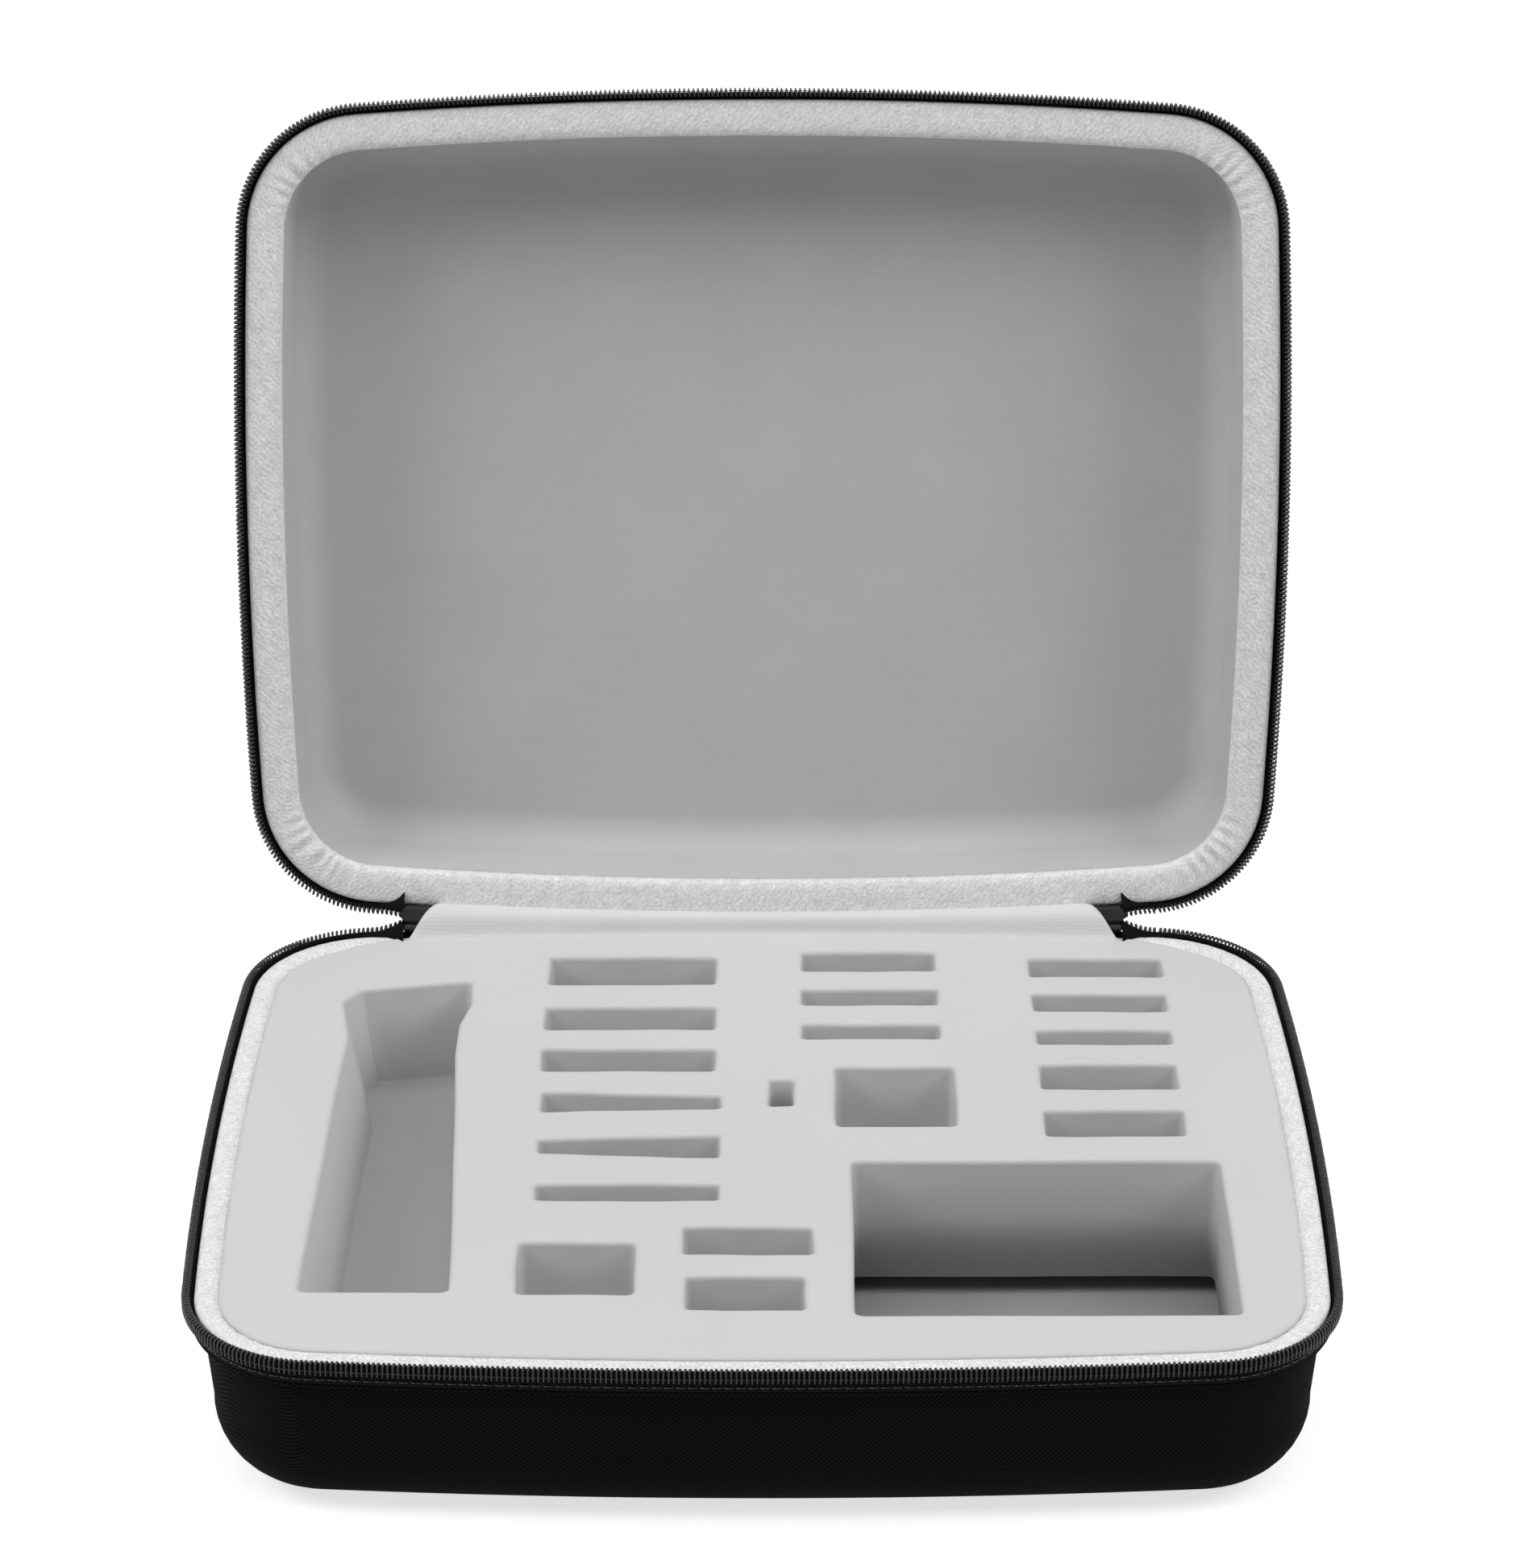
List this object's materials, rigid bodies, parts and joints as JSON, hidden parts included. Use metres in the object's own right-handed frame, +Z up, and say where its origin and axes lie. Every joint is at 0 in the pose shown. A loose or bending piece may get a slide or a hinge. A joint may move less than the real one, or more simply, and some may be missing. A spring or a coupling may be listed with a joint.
{
  "type": "electric shaver hard case",
  "caption": "Moulded zip-round hard case for an electric shaver, standing open, with a cut foam insert in the base and a plain lined lid.",
  "frame": {"origin": "centre of the base's flat rest face", "axes": "+Z up, +X along the width, +Y to the hinge side at the back; the lid stands open by 100 degrees"},
  "size_m": [0.2896, 0.3105, 0.2805],
  "materials": {
    "twill": "black polyester twill bonded to the shell",
    "eva_foam": "dense moulded foam",
    "lining_fabric": "grey knit lining with fine cross ribs",
    "binding_knit": "pale ribbed binding",
    "zip_tape": "black woven tape",
    "zip_coil": "black coil",
    "zip_metal": "black painted zip parts",
    "pull_rubber": "black moulded pull",
    "insert_foam": "pale grey cut foam with a flocked face"
  },
  "bodies": {
    "base": {"base_outer_cover": "twill", "base_eva_shell": "eva_foam", "base_lining": "lining_fabric", "base_rim_binding": "binding_knit", "base_zip_tape": "zip_tape", "base_zip_coil": "zip_coil", "base_welt": "zip_tape", "hinge_fabric_base": "zip_tape", "foam_clipper_bay": "insert_foam", "foam_left_guard_bay": "insert_foam", "foam_middle_guard_bay": "insert_foam", "foam_right_guard_bay": "insert_foam", "foam_accessory_bay": "insert_foam", "foam_adapter_bay": "insert_foam"},
    "lid": {"lid_outer_cover": "twill", "lid_eva_shell": "eva_foam", "lid_lining": "lining_fabric", "lid_rim_binding": "binding_knit", "lid_zip_tape": "zip_tape", "lid_zip_coil": "zip_coil", "lid_welt": "zip_tape", "hinge_fabric_lid": "zip_tape"},
    "zip_ends": {"zip_end_left": "zip_coil", "zip_end_right": "zip_coil", "zip_stop_left": "zip_metal", "zip_stop_right": "zip_metal"},
    "slider_left": {"slider_left": "zip_metal"},
    "slider_right": {"slider_right": "zip_metal"},
    "pull_left": {"pull_left": "pull_rubber"},
    "pull_right": {"pull_right": "pull_rubber"}
  },
  "joints": [
    {"name": "lid_hinge", "type": "hinge", "parent": "base", "child": "lid", "pos_m": [0, 0.1164, 0.05], "axis": [-1, 0, 0], "range_deg": [-100, 80]},
    {"name": "zip_end_turn", "type": "hinge", "parent": "base", "child": "zip_ends", "pos_m": [0, 0.1164, 0.05], "axis": [-1, 0, 0], "range_deg": [-50, 40]},
    {"name": "slider_left_run", "type": "slide", "parent": "zip_ends", "child": "slider_left", "axis": [-0.9977, -0.0433, 0.0516], "range_m": [0, 0.008]},
    {"name": "slider_right_run", "type": "slide", "parent": "zip_ends", "child": "slider_right", "axis": [0.9977, -0.0433, 0.0516], "range_m": [0, 0.008]},
    {"name": "pull_left_swing", "type": "hinge", "parent": "slider_left", "child": "pull_left", "pos_m": [-0.09666, 0.11688, 0.04943], "axis": [0, 0.766, 0.6428], "range_deg": [-85, 85]},
    {"name": "pull_right_swing", "type": "hinge", "parent": "slider_right", "child": "pull_right", "pos_m": [0.09666, 0.11688, 0.04943], "axis": [0, 0.766, 0.6428], "range_deg": [-85, 85]}
  ],
  "couplings": [
    {"joint": "zip_end_turn", "follows": "lid_hinge", "ratio": 0.5}
  ]
}
